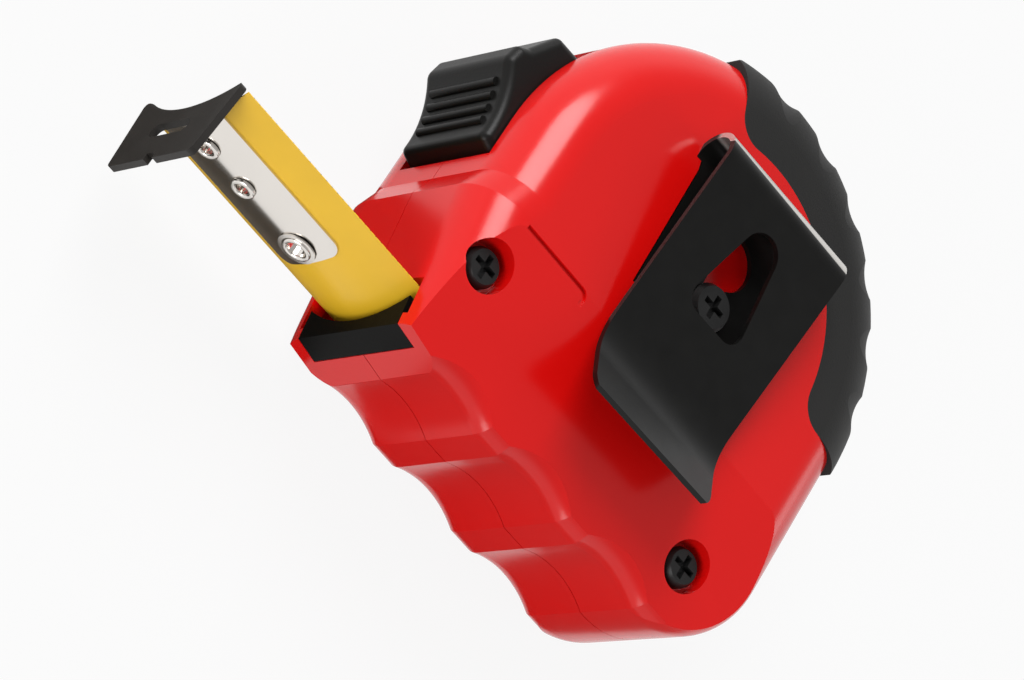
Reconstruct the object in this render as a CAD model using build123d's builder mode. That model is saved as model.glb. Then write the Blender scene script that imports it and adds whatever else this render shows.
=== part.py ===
"""Pocket tape measure, lying on its plain side with the belt clip up. Millimetres.

The origin is on the reel axis, on the plain side's outer face. +Z runs along the reel
axis towards the belt clip, the tape leaves towards -X and the finger grooves face -Y.
"""

import os
from math import asin, cos, degrees, radians, sin, sqrt

from build123d import *

os.makedirs("parts", exist_ok=True)

# Case
case_radius = 30.6
case_thickness = 30.6
base_depth = 33.0
heel_radius = 12.0
shoulder_radius = 7.0
case_wall = 2.0
floor_wall = 3.0
front_pad = 1.2
parting_gap = 0.1
crease_depth = 13.2
grip_taper = 4.8
grip_edge_radius = 3.4
crease_line_width = 0.6
crease_line_depth = 0.4
crease_line_inset = 5.6
crease_line_length = 11.4
crease_line_curl = 2.0

# Finger grooves and nose
groove_count = 3
groove_pitch = 15.2
first_groove_inset = 12.5
groove_radius = 12.4
groove_depth = 1.4
groove_crest_radius = 3.5
brow_top_depth = 8.4
brow_depth = 11.8
brow_reach = 1.15
nose_set_back = 1.8
nose_edge_height = 1.9
nose_length = 8.9
nose_foot_height = 0.9

# Tape
tape_width = 19.2
tape_thickness = 0.2
tape_section_radius = 16.8
tape_base_height = 4.6
tape_reach = 29.6
tape_tail_x = -14.8

# Mouth and its insert
mouth_side_clearance = 0.65
mouth_height = 3.6
mouth_depth = 4.6
insert_width = 17.8
insert_length = 5.2
insert_tape_gap = 1.2
insert_horn_height = 1.2
seat_gap = 0.1

# End hook, backing plate and rivets
hook_thickness = 0.9
hook_rise = 3.3
hook_drop = 10.4
hook_edge_inset = 0.1
hook_side_taper = 1.3
hook_leg_length = 13.4
hook_leg_width = 13.0
hook_travel = 1.0
hook_end_gap = 0.3
hook_leg_gap = 0.05
nail_slot_length = 7.0
nail_slot_width = 2.0
nail_slot_drop = 5.6
hook_notch_width = 1.6
hook_notch_depth = 0.9
hook_corner_radius = 0.8
hook_fold_radius = 0.6
plate_thickness = 0.25
plate_length = 22.7
plate_width = 10.4
plate_corner_radius = 1.6
skin_gap = 0.03
rivet_insets = (4.0, 10.4)
rivet_head_radius = 1.6
rivet_shank_radius = 1.1
rivet_head_height = 0.45
rivet_edge_radius = 0.3
rivet_hole_gap = 0.05
rivet_bore_radius = 0.8
rivet_flange_height = 0.3
end_rivet_inset = 20.2
end_rivet_head_radius = 1.9
end_flange_radius = 2.4
end_flange_height = 0.2
end_rivet_shank_radius = 1.5
end_rivet_bore_radius = 1.15

# Reel, spring and spindle
drum_radius = 14.0
drum_wall = 1.4
drum_plate = 1.2
coil_gap = 0.05
spindle_radius = 4.0
running_gap = 0.06
socket_wall = 1.5
socket_height = 1.5
washer_thickness = 0.5
washer_radius = 7.0
washer_gap = 0.1
spring_width = 13.0
spring_thickness = 0.25
spring_turns = 8
spring_end_gap = 0.2
spindle_slot_width = 0.6
spindle_slot_depth = 1.4
lead_width = 17.0
lead_gap = 0.15
lead_step_x = -4.5
lead_foot_x = -9.5
lead_upper_bend = 4.0
lead_lower_bend = 3.0
lead_foot_rise = 0.65

# Lock
lock_width = 15.6
lock_track_depth = 0.9
lock_track_start = 141.0
lock_track_end = 190.4
lock_track_gap = 0.1
lock_side_gap = 0.3
lock_bottom_angle = 190.0
lock_top_angle = 152.7
lock_rear_height = 3.95
lock_rear_angle = 156.4
lock_lip_height = 2.9
lock_lip_angle = 187.6
lock_crest_height = 5.9
lock_crest_front_angle = 170.8
lock_crest_rear_angle = 166.8
lock_step_height = 4.8
lock_step_angle = 164.8
lock_thumb_hollow = 1.0
lock_lip_round = 0.9
lock_crest_round = 1.5
lock_step_round = 0.6
lock_edge_radius = 1.2
lock_ridge_count = 4
lock_ridge_pitch = 1.75
lock_ridge_radius = 0.55
lock_ridge_length = 11.6
lock_travel = 9.0
arm_wall_gap = 2.6
arm_thickness = 2.0
arm_width = 8.0
arm_top_angle = 163.0
arm_bottom_angle = 240.0
arm_coil_gap = 1.5
stem_angle = 6.0
stem_gap = 0.05
stem_slot_gap = 0.4
stem_slot_margin = 0.7
shoe_length = 4.2
shoe_set_back = 0.3
shoe_lap = 0.2
pad_thickness = 0.8
pad_lift = 1.0

# Fasteners
front_screw_inset = 5.1
front_screw_height = 13.3
rear_screw_inset = 11.15
rear_screw_height = 7.5
case_screw_head_tops = (28.2, 27.1)
case_screw_head_radius = 2.5
case_screw_head_height = 1.8
case_screw_shank_radius = 1.25
case_screw_tip_height = 6.0
screw_recess_radius = 3.2
screw_hole_gap = 0.25
thread_gap = 0.05
boss_radius = 3.0
boss_cup_wall = 1.2
boss_cup_floor = 1.5
cross_length = 3.2
cross_width = 0.8
cross_depth = 1.0

# Belt clip
clip_thickness = 0.7
clip_turn = 1.5
clip_top_width = 23.0
clip_lip_width = 22.0
clip_loop_y = 15.0
clip_loop_height = 6.5
clip_contact_y = -15.7
clip_contact_height = 0.9
clip_lip_y = -23.6
clip_lip_height = 5.0
clip_loop_bend = 2.9
clip_contact_bend = 11.0
clip_lip_corner = 2.5
clip_foot_y = -6.5
clip_foot_width = 20.2
clip_foot_neck = 4.0
clip_pocket_gap = 0.2
clip_keyhole_y = 5.5
clip_keyhole_radius = 3.6
clip_screw_head_radius = 3.0
clip_screw_head_height = 1.9
clip_screw_shank_radius = 1.5
clip_screw_tip_height = 18.0
clip_screw_place = (0.7, -1.9)
clip_window_top_y = 5.7
clip_window_top_radius = 2.8
clip_window_foot_y = -3.0
clip_window_foot_spread = 5.2
clip_window_foot_radius = 2.0

# Rubber bumper
bumper_start_angle = -2.0
bumper_end_angle = 112.0
bumper_proud = 1.7
bumper_inset = 0.9
bumper_inner_radius = 20.0
bumper_corner_radius = 4.0
bumper_ramp = 10.0
bumper_hump_count = 7
bumper_hump_cut_radius = 8.0
bumper_hump_depth = 0.8
bumper_hump_fade = 1.1

# Small shared values
cut_margin = 1.0
screw_crown_share = 0.4
crown_taper = 30.0

# Values worked out from the driving dimensions
mid_height = case_thickness / 2
parting_plane = Plane.XY.offset(mid_height)
half_bottom = mid_height + parting_gap / 2
plain_top = mid_height - parting_gap / 2
inner_bottom = case_wall
inner_top = case_thickness - case_wall
inner_radius = case_radius - case_wall
crease_line_front = crease_line_inset - case_radius
crease_line_rear = crease_line_front + crease_line_length
first_groove_x = first_groove_inset - case_radius
tape_bottom_depth = base_depth - tape_base_height
tape_end_x = -case_radius - tape_reach
tape_axis_y = tape_section_radius - tape_bottom_depth
tape_half_angle = degrees(tape_width / 2 / tape_section_radius)
tape_half_chord = tape_section_radius * sin(radians(tape_half_angle))
tape_top_radius = tape_section_radius - tape_thickness
mouth_half_width = tape_half_chord + mouth_side_clearance
mouth_top_depth = tape_bottom_depth - mouth_height
insert_horn_depth = tape_bottom_depth - insert_horn_height
hook_top_depth = tape_bottom_depth - hook_rise
hook_top_width = 2 * (tape_half_chord - hook_edge_inset)
hook_bottom_width = hook_top_width - 2 * hook_side_taper
rivet_x = [tape_end_x + inset for inset in rivet_insets]
end_rivet_x = tape_end_x + end_rivet_inset
lock_track_radius = case_radius - lock_track_depth
lock_seat_radius = lock_track_radius + lock_track_gap
arm_outer_radius = inner_radius - arm_wall_gap
arm_inner_radius = arm_outer_radius - arm_thickness
coil_radius = arm_inner_radius - arm_coil_gap
shoe_rear_x = arm_inner_radius * cos(radians(arm_bottom_angle)) - shoe_set_back
shoe_front_x = shoe_rear_x - shoe_length
shoe_top_depth = -arm_inner_radius * sin(radians(arm_bottom_angle)) - shoe_lap
pad_bottom_depth = tape_bottom_depth - pad_lift
case_screw_places = (
    (front_screw_inset - case_radius, front_screw_height - base_depth),
    (case_radius - rear_screw_inset, rear_screw_height - base_depth),
)
rivet_head_depth = tape_bottom_depth + plate_thickness + 2 * skin_gap
bumper_rim_radius = case_radius + bumper_proud
bumper_shoulder = shoulder_radius + bumper_proud / 2
bumper_shoulder_z = case_thickness - bumper_shoulder
reel_bottom = inner_bottom + socket_height + washer_thickness + washer_gap
reel_top = case_thickness - reel_bottom


def at_angle(radius, angle):
    """Point at a radius and an angle in degrees about the reel axis."""
    return (radius * cos(radians(angle)), radius * sin(radians(angle)))


def ring_sector(inner, outer, start, end):
    """Flat sector between two radii and two angles about the reel axis."""
    with BuildSketch() as sector:
        with BuildLine():
            CenterArc((0, 0), outer, start, end - start)
            Line(at_angle(outer, end), at_angle(inner, end))
            CenterArc((0, 0), inner, end, start - end)
            Line(at_angle(inner, start), at_angle(outer, start))
        make_face()
    return sector.sketch


def tape_band(inner, outer, half_angle):
    """Band of the tape's curved section, for a sketch whose X is the model's Y and Y its Z."""
    band = ring_sector(inner, outer, 180 - half_angle, 180 + half_angle)
    return Pos(tape_axis_y, mid_height) * band


def nose_x(depth):
    """X of the sloping front between the brow and the nose's edge, at a depth below the reel axis."""
    share = (depth - brow_depth) / (base_depth - nose_edge_height - brow_depth)
    return -case_radius - brow_reach + share * (brow_reach + nose_set_back)


def half_form(outline, wall):
    """Clip side half of a form: rounded shoulders, and sides that draw in below the crease."""
    top = case_thickness - wall
    with BuildPart() as form:
        with BuildSketch(Plane.XY.offset(half_bottom)):
            add(outline)
        extrude(amount=top - half_bottom)
        fillet(form.faces().sort_by(Axis.Z)[-1].edges(), shoulder_radius - wall)
        with BuildSketch(Plane.YZ):
            with BuildLine():
                Polyline(
                    (case_radius, mid_height),
                    (case_radius, top),
                    (-crease_depth, top),
                    (-base_depth, top - grip_taper),
                    (-base_depth, mid_height),
                    close=True,
                )
            make_face()
        extrude(amount=2 * case_radius, both=True, mode=Mode.INTERSECT)
    return form.part


def bumper_form():
    """Clip side rubber bumper: a band over the shoulder, let into the side and the rim."""
    proud_centre = (bumper_rim_radius - bumper_shoulder, bumper_shoulder_z)
    seat_radius = case_radius - bumper_inset
    seat_top = case_thickness - bumper_inset
    seat_centre = (case_radius - shoulder_radius, case_thickness - shoulder_radius)
    with BuildPart() as band:
        with BuildSketch(Plane.XZ):
            with BuildLine():
                Line((bumper_inner_radius, case_thickness), (proud_centre[0], case_thickness))
                CenterArc(proud_centre, bumper_shoulder, 0, 90)
                Line((bumper_rim_radius, bumper_shoulder_z), (bumper_rim_radius, half_bottom))
                Line((bumper_rim_radius, half_bottom), (seat_radius, half_bottom))
                Line((seat_radius, half_bottom), (seat_radius, seat_centre[1]))
                CenterArc(seat_centre, shoulder_radius - bumper_inset, 0, 90)
                Line((seat_centre[0], seat_top), (bumper_inner_radius, seat_top))
                Line((bumper_inner_radius, seat_top), (bumper_inner_radius, case_thickness))
            make_face()
        revolve(axis=Axis.Z)
        with BuildSketch() as plan:
            add(ring_sector(
                bumper_inner_radius,
                bumper_rim_radius + cut_margin,
                bumper_start_angle,
                bumper_end_angle,
            ))
            fillet(plan.vertices().sort_by_distance((0, 0))[:2], bumper_corner_radius)
            for end, ramp in ((bumper_start_angle, bumper_ramp), (bumper_end_angle, -bumper_ramp)):
                with BuildLine():
                    Polyline(
                        at_angle(case_radius, end),
                        at_angle(bumper_rim_radius + bumper_proud, end),
                        at_angle(bumper_rim_radius + bumper_proud, end + ramp),
                        close=True,
                    )
                make_face(mode=Mode.SUBTRACT)
        extrude(amount=case_thickness, mode=Mode.INTERSECT)
    return band.part


def screw(place, head_top, head_radius, head_height, shank_radius, tip):
    """Cross-recess pan head screw pointing down -Z."""
    seat = head_top - head_height
    rim = head_top - head_height * screw_crown_share
    with BuildPart() as fastener:
        with BuildSketch(Plane.XY.offset(tip)):
            with Locations(place):
                Circle(shank_radius)
        extrude(amount=seat - tip)
        with BuildSketch(Plane.XY.offset(seat)):
            with Locations(place):
                Circle(head_radius)
        extrude(amount=rim - seat)
        with BuildSketch(Plane.XY.offset(rim)):
            with Locations(place):
                Circle(head_radius)
        extrude(amount=head_top - rim, taper=crown_taper)
        with BuildSketch(Plane.XY.offset(head_top)):
            with Locations(place):
                Rectangle(cross_length, cross_width)
                Rectangle(cross_width, cross_length)
        extrude(amount=-cross_depth, mode=Mode.SUBTRACT)
    return fastener.part


def eyelet(x, head_radius, shank_radius, bore_radius, top_radius):
    """Eyelet rivet through the backing plate and the tape, along Y.

    Depths count from the reel axis down towards -Y. top_radius is the curved surface
    under the upper flange.
    """
    flange_depth = sqrt(top_radius**2 - head_radius**2) - tape_axis_y - skin_gap
    with BuildPart() as rivet:
        with BuildSketch(Plane.XZ.offset(rivet_head_depth)):
            with Locations((x, mid_height)):
                Circle(head_radius)
        extrude(amount=rivet_head_height)
        with BuildSketch(Plane.XZ.offset(flange_depth)):
            with Locations((x, mid_height)):
                Circle(shank_radius)
        extrude(amount=rivet_head_depth - flange_depth)
        with BuildSketch(Plane.XZ.offset(flange_depth)):
            with Locations((x, mid_height)):
                Circle(head_radius)
        extrude(amount=-rivet_flange_height)
        with BuildSketch(Plane.XZ.offset(flange_depth - rivet_flange_height)):
            with Locations((x, mid_height)):
                Circle(bore_radius)
        extrude(amount=base_depth, mode=Mode.SUBTRACT)
        fillet(rivet.faces().sort_by(Axis.Y)[0].edges(), rivet_edge_radius)
    return rivet.part


def clip_foot(gap):
    """Plan of the belt clip's foot about X = 0, necked in from the loop, grown by a gap."""
    loop_end = clip_loop_y + clip_thickness + gap
    neck_y = clip_loop_y - clip_foot_neck
    half_top = clip_top_width / 2 + gap
    half_foot = clip_foot_width / 2 + gap
    tip_y = clip_foot_y - gap
    with BuildSketch() as foot:
        with BuildLine():
            Polyline(
                (-half_top, loop_end),
                (-half_foot, neck_y),
                (-half_foot, tip_y),
                (half_foot, tip_y),
                (half_foot, neck_y),
                (half_top, loop_end),
                close=True,
            )
        make_face()
    return foot.sketch


def on_clip(piece):
    """Piece drawn about X = 0, carried over the clip screw and turned about it."""
    x, y = clip_screw_place
    return (Pos(x, 0, 0) * piece).rotate(Axis((x, y, 0), (0, 0, 1)), clip_turn)


# Outline of the case: drum, brow under the lock, sloping nose, base and heel
with BuildSketch() as case_outline:
    with BuildLine():
        CenterArc((0, 0), case_radius, 0, 180)
        Polyline(
            (-case_radius, 0),
            (-case_radius, -brow_top_depth),
            (nose_x(brow_depth), -brow_depth),
            (nose_x(base_depth), -base_depth),
            (case_radius - heel_radius, -base_depth),
        )
        CenterArc((case_radius - heel_radius, heel_radius - base_depth), heel_radius, 270, 90)
        Line((case_radius, heel_radius - base_depth), (case_radius, 0))
    make_face()

# Outline of the hollow inside it
inner_heel = heel_radius - case_wall
floor_depth = base_depth - floor_wall
with BuildSketch() as hollow_outline:
    with BuildLine():
        CenterArc((0, 0), inner_radius, 0, 180)
        Polyline(
            (-inner_radius, 0),
            (-inner_radius, -floor_depth),
            (inner_radius - inner_heel, -floor_depth),
        )
        CenterArc((inner_radius - inner_heel, inner_heel - floor_depth), inner_heel, 270, 90)
        Line((inner_radius, inner_heel - floor_depth), (inner_radius, 0))
    make_face()

# Block with the finger grooves along its lower edge, which rounds over to the sides
groove_centres = [
    (first_groove_x + i * groove_pitch, groove_depth - groove_radius - base_depth)
    for i in range(groove_count)
]
grip_rim_depth = base_depth - groove_depth - grip_edge_radius
grip_rim_drop = grip_taper * (grip_rim_depth - crease_depth) / (base_depth - crease_depth)
with BuildPart() as grip_block:
    with BuildSketch(Plane.XY.offset(half_bottom)) as grooved:
        with Locations((0, -base_depth)):
            Rectangle(4 * case_radius, 4 * case_radius, align=(Align.CENTER, Align.MIN))
        with Locations(*groove_centres):
            Circle(groove_radius, mode=Mode.SUBTRACT)
        crest_ends = grooved.vertices().filter_by_position(Axis.Y, -base_depth, -base_depth)
        fillet(crest_ends.sort_by(Axis.X)[1:-1], groove_crest_radius)
    extrude(amount=case_thickness - grip_rim_drop - half_bottom)
    rim = grip_block.faces().sort_by(Axis.Z)[-1].edges()
    fillet(rim.filter_by_position(Axis.Y, -base_depth, groove_depth - base_depth), grip_edge_radius)
    with BuildSketch(Plane.XY.offset(half_bottom)):
        with Locations((0, -grip_rim_depth)):
            Rectangle(4 * case_radius, 4 * case_radius, align=(Align.CENTER, Align.MIN))
    extrude(amount=case_thickness)

# Under the nose the base is cut back along a facet
with BuildPart() as nose_cutter:
    with BuildSketch(Plane.XY.offset(half_bottom)):
        with BuildLine():
            Polyline(
                (nose_set_back - case_radius, nose_edge_height - base_depth),
                (nose_length - case_radius, nose_foot_height - base_depth),
                (nose_length - case_radius, -base_depth - cut_margin),
                (nose_set_back - case_radius, -base_depth - cut_margin),
                close=True,
            )
        make_face()
    extrude(amount=case_thickness)

with BuildPart() as outer_form:
    add(half_form(case_outline.sketch, 0))
    add(grip_block.part, mode=Mode.INTERSECT)
    add(nose_cutter.part, mode=Mode.SUBTRACT)
outer_half = outer_form.part
inner_half = half_form(hollow_outline.sketch, case_wall)
bumper_half = bumper_form()

# Way of the tape through the front wall, and the seat of the mouth insert
mouth_bottom_depth = tape_bottom_depth + insert_tape_gap
with BuildPart() as mouth_cutter:
    with BuildSketch(Plane.YZ.offset(-case_radius - cut_margin)):
        with Locations((-(mouth_bottom_depth + mouth_top_depth) / 2, mid_height)):
            Rectangle(mouth_bottom_depth - mouth_top_depth, 2 * mouth_half_width)
    extrude(amount=mouth_depth + cut_margin)
    with BuildSketch(Plane.YZ.offset(-case_radius - cut_margin)):
        with Locations((seat_gap - insert_horn_depth, mid_height)):
            Rectangle(
                base_depth + cut_margin - insert_horn_depth,
                insert_width + 2 * seat_gap,
                align=(Align.MAX, Align.CENTER),
            )
    extrude(amount=insert_length + seat_gap + cut_margin)

# Round track that the lock button slides on, and the slot for the lock's stem
with BuildPart() as track_cutter:
    with BuildSketch(Plane.XY.offset(mid_height - lock_width / 2 - lock_side_gap)):
        add(ring_sector(lock_track_radius, case_radius + base_depth, lock_track_start, lock_track_end))
    extrude(amount=lock_width + 2 * lock_side_gap)
    with BuildSketch(Plane.XY.offset(mid_height - arm_width / 2 - stem_slot_gap)):
        add(ring_sector(
            arm_outer_radius,
            case_radius,
            arm_top_angle - lock_travel - stem_slot_margin,
            arm_top_angle + stem_angle + stem_slot_margin,
        ))
    extrude(amount=arm_width + 2 * stem_slot_gap)

# Thicker front wall behind the mouth
with BuildPart() as front_lining:
    with BuildSketch(Plane.XY.offset(half_bottom)):
        with Locations((-inner_radius, 0)):
            Rectangle(2 * front_pad, base_depth, align=(Align.CENTER, Align.MAX))
    extrude(amount=case_thickness)
    add(outer_half, mode=Mode.INTERSECT)

with BuildPart() as shell_blank:
    add(outer_half)
    add(inner_half, mode=Mode.SUBTRACT)
    add(front_lining.part)
    with BuildSketch(Plane.XY.offset(inner_top)):
        Circle(spindle_radius + running_gap + socket_wall)
        Circle(spindle_radius + running_gap, mode=Mode.SUBTRACT)
    extrude(amount=-socket_height)
    for cutter in (mouth_cutter, track_cutter):
        add(cutter.part, mode=Mode.SUBTRACT)
    add(bumper_half, mode=Mode.SUBTRACT)

# Pocket that the belt clip's foot lies in, as far as the loop's bend leaves the face
clip_bend_start_y = clip_loop_y - clip_loop_bend
clip_pocket_end_y = clip_bend_start_y + sqrt(2 * clip_loop_bend * clip_thickness) + clip_pocket_gap
with BuildPart() as clip_pocket:
    with BuildSketch(Plane.XY.offset(case_thickness - clip_thickness)):
        add(clip_foot(clip_pocket_gap))
        with Locations((0, clip_pocket_end_y)):
            Rectangle(
                2 * clip_top_width,
                2 * clip_loop_y,
                align=(Align.CENTER, Align.MAX),
                mode=Mode.INTERSECT,
            )
    extrude(amount=clip_thickness)

with BuildPart() as clip_side_bosses:
    for place, head_top in zip(case_screw_places, case_screw_head_tops):
        seat = head_top - case_screw_head_height
        with BuildSketch(Plane.XY.offset(half_bottom)):
            with Locations(place):
                Circle(boss_radius)
        extrude(amount=seat - half_bottom)
        with BuildSketch(Plane.XY.offset(seat - boss_cup_floor)):
            with Locations(place):
                Circle(screw_recess_radius + boss_cup_wall)
        extrude(amount=case_thickness - seat + boss_cup_floor)
    add(outer_half, mode=Mode.INTERSECT)

with BuildPart() as clip_side_shell:
    add(shell_blank.part)
    add(clip_side_bosses.part)
    for place, head_top in zip(case_screw_places, case_screw_head_tops):
        seat = head_top - case_screw_head_height
        with BuildSketch(Plane.XY.offset(seat)):
            with Locations(place):
                Circle(screw_recess_radius)
        extrude(amount=case_thickness - seat, mode=Mode.SUBTRACT)
        with BuildSketch(Plane.XY.offset(half_bottom)):
            with Locations(place):
                Circle(case_screw_shank_radius + screw_hole_gap)
        extrude(amount=seat - half_bottom, mode=Mode.SUBTRACT)
    add(on_clip(clip_pocket.part), mode=Mode.SUBTRACT)
    with BuildSketch(Plane.XY.offset(inner_top)):
        with Locations(clip_screw_place):
            Circle(clip_screw_shank_radius + screw_hole_gap)
    extrude(amount=case_wall, mode=Mode.SUBTRACT)
    with BuildSketch(Plane.XY.offset(case_thickness - crease_line_depth)):
        with BuildLine():
            FilletPolyline(
                (crease_line_front, -crease_depth),
                (crease_line_rear, -crease_depth),
                (crease_line_rear, -crease_depth - crease_line_curl),
                radius=crease_line_curl / 2,
            )
        trace(line_width=crease_line_width)
    extrude(amount=case_wall, mode=Mode.SUBTRACT)
clip_side_shell.part.label = "clip_side_shell"
export_step(clip_side_shell.part, "parts/clip_side_shell.step")

with BuildPart() as plain_side_bosses:
    with BuildSketch():
        with Locations(*case_screw_places):
            Circle(boss_radius)
    extrude(amount=plain_top)
    add(mirror(outer_half, about=parting_plane, mode=Mode.PRIVATE), mode=Mode.INTERSECT)

with BuildPart() as plain_side_shell:
    mirror(shell_blank.part, about=parting_plane)
    add(plain_side_bosses.part)
    with BuildSketch(Plane.XY.offset(plain_top)):
        with Locations(*case_screw_places):
            Circle(case_screw_shank_radius + thread_gap)
    extrude(amount=case_screw_tip_height - seat_gap - plain_top, mode=Mode.SUBTRACT)
plain_side_shell.part.label = "plain_side_shell"
export_step(plain_side_shell.part, "parts/plain_side_shell.step")

# Cutter for one dip between the humps: up the rim, then over the shoulder, where it fades out
hump_cut_x = bumper_rim_radius + bumper_hump_cut_radius - bumper_hump_depth
hump_arc_radius = bumper_shoulder + bumper_hump_fade + bumper_hump_cut_radius - bumper_hump_depth
with BuildPart() as hump_cutter:
    with BuildLine(Plane.XZ):
        Line((hump_cut_x, mid_height - cut_margin), (hump_cut_x, bumper_shoulder_z))
        CenterArc((hump_cut_x - hump_arc_radius, bumper_shoulder_z), hump_arc_radius, 0, 90)
    with BuildSketch(Plane.XY.offset(mid_height - cut_margin)):
        with Locations((hump_cut_x, 0)):
            Circle(bumper_hump_cut_radius)
    sweep()

# Rubber bumper halves
hump_pitch = (bumper_end_angle - bumper_start_angle) / bumper_hump_count
dip_count = bumper_hump_count - 1
with BuildPart() as clip_side_bumper:
    add(bumper_half)
    with PolarLocations(0, dip_count, bumper_start_angle + hump_pitch, dip_count * hump_pitch):
        add(hump_cutter.part, mode=Mode.SUBTRACT)
clip_side_bumper.part.label = "clip_side_bumper"
export_step(clip_side_bumper.part, "parts/clip_side_bumper.step")

with BuildPart() as plain_side_bumper:
    mirror(clip_side_bumper.part, about=parting_plane)
plain_side_bumper.part.label = "plain_side_bumper"
export_step(plain_side_bumper.part, "parts/plain_side_bumper.step")

# Black insert under the tape, hollowed along the tape's curve
with BuildPart() as mouth_insert:
    insert_rear_x = insert_length - case_radius
    nose_slope = (nose_edge_height - nose_foot_height) / (nose_length - nose_set_back)
    insert_heel_height = nose_edge_height - nose_slope * (insert_length - nose_set_back)
    with BuildSketch(Plane.XY.offset(mid_height - insert_width / 2)):
        with BuildLine():
            Polyline(
                (nose_x(insert_horn_depth), -insert_horn_depth),
                (nose_set_back - case_radius, nose_edge_height - base_depth),
                (insert_rear_x, insert_heel_height - base_depth),
                (insert_rear_x, -mouth_bottom_depth),
                (insert_rear_x - insert_tape_gap, -insert_horn_depth),
                close=True,
            )
        make_face()
    extrude(amount=insert_width)
    with BuildSketch(Plane.YZ.offset(-case_radius - cut_margin)):
        with Locations((tape_axis_y, mid_height)):
            Circle(tape_section_radius + insert_tape_gap)
    extrude(amount=insert_length + 2 * cut_margin, mode=Mode.SUBTRACT)
mouth_insert.part.label = "mouth_insert"
export_step(mouth_insert.part, "parts/mouth_insert.step")

# Fixed spindle between the two side faces, slotted for the spring's inner end
with BuildPart() as spindle:
    with BuildSketch(Plane.XY.offset(inner_bottom)):
        Circle(spindle_radius)
    extrude(amount=inner_top - inner_bottom)
    with BuildSketch(Plane.XY.offset(inner_top)):
        with Locations(clip_screw_place):
            Circle(clip_screw_shank_radius + thread_gap)
    extrude(amount=clip_screw_tip_height - seat_gap - inner_top, mode=Mode.SUBTRACT)
    with BuildSketch(Plane.XY.offset(mid_height - spring_width / 2)):
        with Locations((spindle_radius, 0)):
            Rectangle(2 * spindle_slot_depth, spindle_slot_width)
    extrude(amount=spring_width, mode=Mode.SUBTRACT)
spindle.part.label = "spindle"
export_step(spindle.part, "parts/spindle.step")

with BuildPart() as thrust_washers:
    for washer_bottom in (inner_bottom + socket_height, inner_top - socket_height - washer_thickness):
        with BuildSketch(Plane.XY.offset(washer_bottom)):
            Circle(washer_radius)
            Circle(spindle_radius + running_gap, mode=Mode.SUBTRACT)
        extrude(amount=washer_thickness)
thrust_washers.part.label = "thrust_washers"
export_step(thrust_washers.part, "parts/thrust_washers.step")

# Reel: an open drum that holds the spring, and the cover that closes it
with BuildPart() as reel_drum:
    with BuildSketch(Plane.XY.offset(reel_bottom)):
        Circle(drum_radius)
        Circle(spindle_radius + running_gap, mode=Mode.SUBTRACT)
    extrude(amount=drum_plate)
    with BuildSketch(Plane.XY.offset(reel_bottom + drum_plate)):
        Circle(drum_radius)
        Circle(drum_radius - drum_wall, mode=Mode.SUBTRACT)
    extrude(amount=reel_top - reel_bottom - 2 * drum_plate)
reel_drum.part.label = "reel_drum"
export_step(reel_drum.part, "parts/reel_drum.step")

with BuildPart() as reel_cover:
    with BuildSketch(Plane.XY.offset(reel_top - drum_plate)):
        Circle(drum_radius)
        Circle(spindle_radius + running_gap, mode=Mode.SUBTRACT)
    extrude(amount=drum_plate)
reel_cover.part.label = "reel_cover"
export_step(reel_cover.part, "parts/reel_cover.step")

with BuildPart() as tape_coil:
    with BuildSketch(Plane.XY.offset(mid_height - tape_width / 2)):
        Circle(coil_radius)
        Circle(drum_radius + coil_gap, mode=Mode.SUBTRACT)
    extrude(amount=tape_width)
tape_coil.part.label = "tape_coil"
export_step(tape_coil.part, "parts/tape_coil.step")

# Spiral spring of half turns about two centres, from the spindle out to the drum
spring_inner = spindle_radius + spring_end_gap + spring_thickness / 2
spring_outer = drum_radius - drum_wall - spring_end_gap - spring_thickness / 2
spring_pitch = (spring_outer - spring_inner) / spring_turns
with BuildPart() as mainspring:
    with BuildSketch(Plane.XY.offset(mid_height - spring_width / 2)):
        with BuildLine():
            for side in (-spring_thickness / 2, spring_thickness / 2):
                for half_turn in range(2 * spring_turns):
                    below = half_turn % 2
                    centre_x = spring_pitch / 4 * (1 if below else -1)
                    radius = spring_inner + side + spring_pitch * (half_turn / 2 + 1 / 4)
                    CenterArc((centre_x, 0), radius, 180 * below, 180)
            for end_radius in (spring_inner, spring_outer):
                Line((end_radius - spring_thickness / 2, 0), (end_radius + spring_thickness / 2, 0))
        make_face()
    extrude(amount=spring_width)
mainspring.part.label = "mainspring"
export_step(mainspring.part, "parts/mainspring.step")

# Run of tape that leaves the coil and comes down to the straight tape
lead_top_depth = coil_radius + lead_gap + tape_thickness / 2
lead_foot_depth = tape_bottom_depth - lead_foot_rise
with BuildPart() as tape_lead:
    with BuildSketch(Plane.XY.offset(mid_height - lead_width / 2)):
        with BuildLine():
            FilletPolyline(
                (0, -lead_top_depth),
                (lead_step_x, -lead_top_depth),
                (lead_foot_x, -lead_foot_depth),
                (tape_tail_x + seat_gap, -lead_foot_depth),
                radius=[lead_upper_bend, lead_lower_bend],
            )
        trace(line_width=tape_thickness)
    extrude(amount=lead_width)
tape_lead.part.label = "tape_lead"
export_step(tape_lead.part, "parts/tape_lead.step")

# Holes for the rivets, along Y
with BuildPart() as rivet_cutter:
    with BuildSketch(Plane.XZ):
        with Locations(*[(x, mid_height) for x in rivet_x]):
            Circle(rivet_shank_radius + rivet_hole_gap)
        with Locations((end_rivet_x, mid_height)):
            Circle(end_rivet_shank_radius + rivet_hole_gap)
    extrude(amount=base_depth)

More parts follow.
